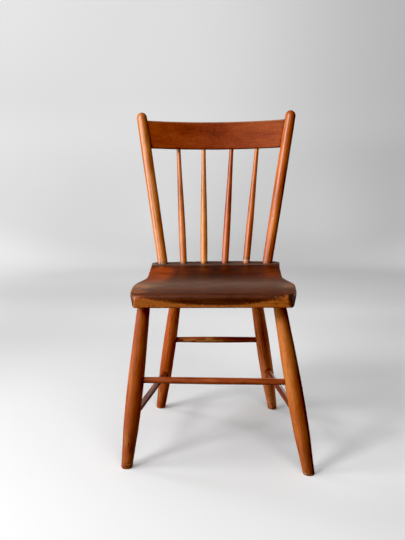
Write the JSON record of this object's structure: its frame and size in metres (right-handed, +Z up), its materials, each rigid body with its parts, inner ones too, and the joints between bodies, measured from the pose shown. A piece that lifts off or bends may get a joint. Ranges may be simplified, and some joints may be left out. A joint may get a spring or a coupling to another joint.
{
  "type": "wooden side chair",
  "caption": "Antique plank-seat side chair with spindle back, bent crest rail, splayed turned legs and rod stretchers, in worn brown varnish.",
  "frame": {"origin": "on the floor, at the middle of the chair's box seen from above", "axes": "+Z up, the longest extent; +Y towards the back rest; +X towards the right of the chair seen from the front, the shortest extent"},
  "size_m": [0.4678, 0.5317, 0.8465],
  "materials": {
    "seat_wood": "dark brown stained plank, varnish worn golden on the front face, satin",
    "leg_wood": "orange-brown varnished turned wood, scuffed pale at the foot",
    "rear_right_leg_wood": "duller brown varnished turned wood with a gouge near the foot",
    "stretcher_wood": "orange-brown varnished rod",
    "post_wood": "orange-brown varnished round post, semi-gloss",
    "crest_wood": "reddish dark brown varnished board",
    "spindle_wood_pink": "pinkish orange varnished spindle",
    "spindle_wood_honey": "light honey varnished spindle",
    "spindle_wood_red": "redder brown varnished spindle",
    "spindle_wood_orange": "orange varnished spindle"
  },
  "bodies": {
    "root": {"seat": "seat_wood", "front_left_leg": "leg_wood", "front_right_leg": "leg_wood", "rear_left_leg": "leg_wood", "rear_right_leg": "rear_right_leg_wood", "front_stretcher": "stretcher_wood", "rear_stretcher": "stretcher_wood", "left_stretcher": "stretcher_wood", "right_stretcher": "stretcher_wood", "left_post": "post_wood", "right_post": "post_wood", "crest_rail": "crest_wood", "spindle_1": "spindle_wood_pink", "spindle_2": "spindle_wood_honey", "spindle_3": "spindle_wood_red", "spindle_4": "spindle_wood_orange"}
  },
  "joints": []
}
